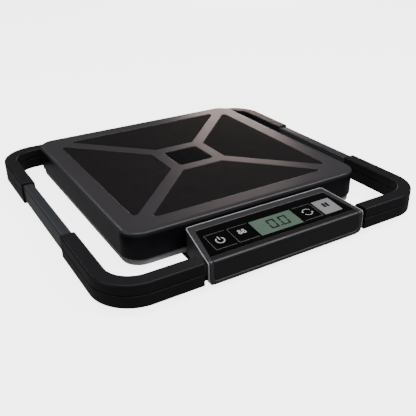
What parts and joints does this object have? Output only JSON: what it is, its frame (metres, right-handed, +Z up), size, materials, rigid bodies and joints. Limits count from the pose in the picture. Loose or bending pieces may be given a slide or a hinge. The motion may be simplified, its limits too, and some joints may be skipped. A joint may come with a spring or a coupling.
{
  "type": "bench scale",
  "caption": "Low portable bench scale: square ribbed platform on a base tray, a handle frame around it and a display head that slides out of its dock at the front.",
  "frame": {"origin": "on the floor, under the middle of the overall footprint", "axes": "+X to the right across the handles (the longest extent), +Y away from the display towards the rear rail, +Z up (the shortest extent)"},
  "size_m": [0.4028, 0.3926, 0.047],
  "materials": {
    "satin_charcoal": "satin",
    "ribbed_rubber": "matte",
    "black_gloss": "gloss",
    "black_moulding": "satin",
    "grey_tube": "satin",
    "tray_grey": "satin",
    "bezel_grey": "satin",
    "display_glass": "gloss",
    "light_key": "satin",
    "zinc_steel": "satin",
    "aluminium": "satin",
    "foot_rubber": "matte",
    "circuit_board": "satin",
    "cell_jacket": "gloss"
  },
  "bodies": {
    "root": {"bar_screw_left": "zinc_steel", "bar_screw_right": "zinc_steel", "base_tray": "tray_grey", "battery_1": "cell_jacket", "battery_2": "cell_jacket", "battery_3": "cell_jacket", "battery_bay": "black_moulding", "battery_contact_front": "zinc_steel", "battery_contact_rear": "zinc_steel", "cell_screw_front_left": "zinc_steel", "cell_screw_front_right": "zinc_steel", "cell_screw_rear_left": "zinc_steel", "cell_screw_rear_right": "zinc_steel", "data_socket": "zinc_steel", "display_dock": "black_moulding", "dock_screw_left": "zinc_steel", "dock_screw_right": "zinc_steel", "ear_screw_left": "zinc_steel", "ear_screw_right": "zinc_steel", "foot_front_left": "foot_rubber", "foot_front_right": "foot_rubber", "foot_rear_left": "foot_rubber", "foot_rear_right": "foot_rubber", "front_corner_left_lower": "black_moulding", "front_corner_left_upper": "black_moulding", "front_corner_right_lower": "black_moulding", "front_corner_right_upper": "black_moulding", "load_cell_front_left": "aluminium", "load_cell_front_right": "aluminium", "load_cell_rear_left": "aluminium", "load_cell_rear_right": "aluminium", "rail_screw_left": "zinc_steel", "rail_screw_right": "zinc_steel", "rear_rail_lower": "black_moulding", "rear_rail_upper": "black_moulding", "sensor_board": "circuit_board", "side_tube_left": "grey_tube", "side_tube_right": "grey_tube", "tube_screw_front_left": "zinc_steel", "tube_screw_front_right": "zinc_steel", "tube_screw_rear_left": "zinc_steel", "tube_screw_rear_right": "zinc_steel"},
    "platform": {"platform_cover": "satin_charcoal", "platform_pad_front": "ribbed_rubber", "platform_pad_right": "ribbed_rubber", "platform_pad_rear": "ribbed_rubber", "platform_pad_left": "ribbed_rubber", "centre_badge": "black_gloss", "load_plate": "zinc_steel"},
    "head": {"head_shell": "black_moulding", "head_bezel": "bezel_grey", "head_front_panel": "black_moulding", "head_overlay": "black_gloss", "lcd_panel": "display_glass", "display_board": "circuit_board"},
    "battery_door": {"battery_door": "tray_grey"},
    "key_power": {"power_key": "black_gloss"},
    "key_zero": {"zero_key": "black_gloss"},
    "key_units": {"units_key": "black_gloss"},
    "key_hold": {"hold_key": "light_key"}
  },
  "joints": [
    {"name": "platform_press", "type": "slide", "parent": "root", "child": "platform", "axis": [0, 0, -1], "range_m": [0, 0.0004], "stiffness_N_per_m": 200000, "springref_m": -0.0002},
    {"name": "head_undock", "type": "slide", "parent": "root", "child": "head", "axis": [0, -1, 0], "range_m": [0, 0.06]},
    {"name": "door_slide", "type": "slide", "parent": "root", "child": "battery_door", "axis": [0, -1, 0], "range_m": [0, 0.05]},
    {"name": "press_power", "type": "slide", "parent": "head", "child": "key_power", "axis": [0, 0.1132, -0.9936], "range_m": [0, 0.0006], "stiffness_N_per_m": 600, "springref_m": -0.0005},
    {"name": "press_zero", "type": "slide", "parent": "head", "child": "key_zero", "axis": [0, 0.1132, -0.9936], "range_m": [0, 0.0006], "stiffness_N_per_m": 600, "springref_m": -0.0005},
    {"name": "press_units", "type": "slide", "parent": "head", "child": "key_units", "axis": [0, 0.1132, -0.9936], "range_m": [0, 0.0006], "stiffness_N_per_m": 600, "springref_m": -0.0005},
    {"name": "press_hold", "type": "slide", "parent": "head", "child": "key_hold", "axis": [0, 0.1132, -0.9936], "range_m": [0, 0.0006], "stiffness_N_per_m": 600, "springref_m": -0.0005}
  ]
}
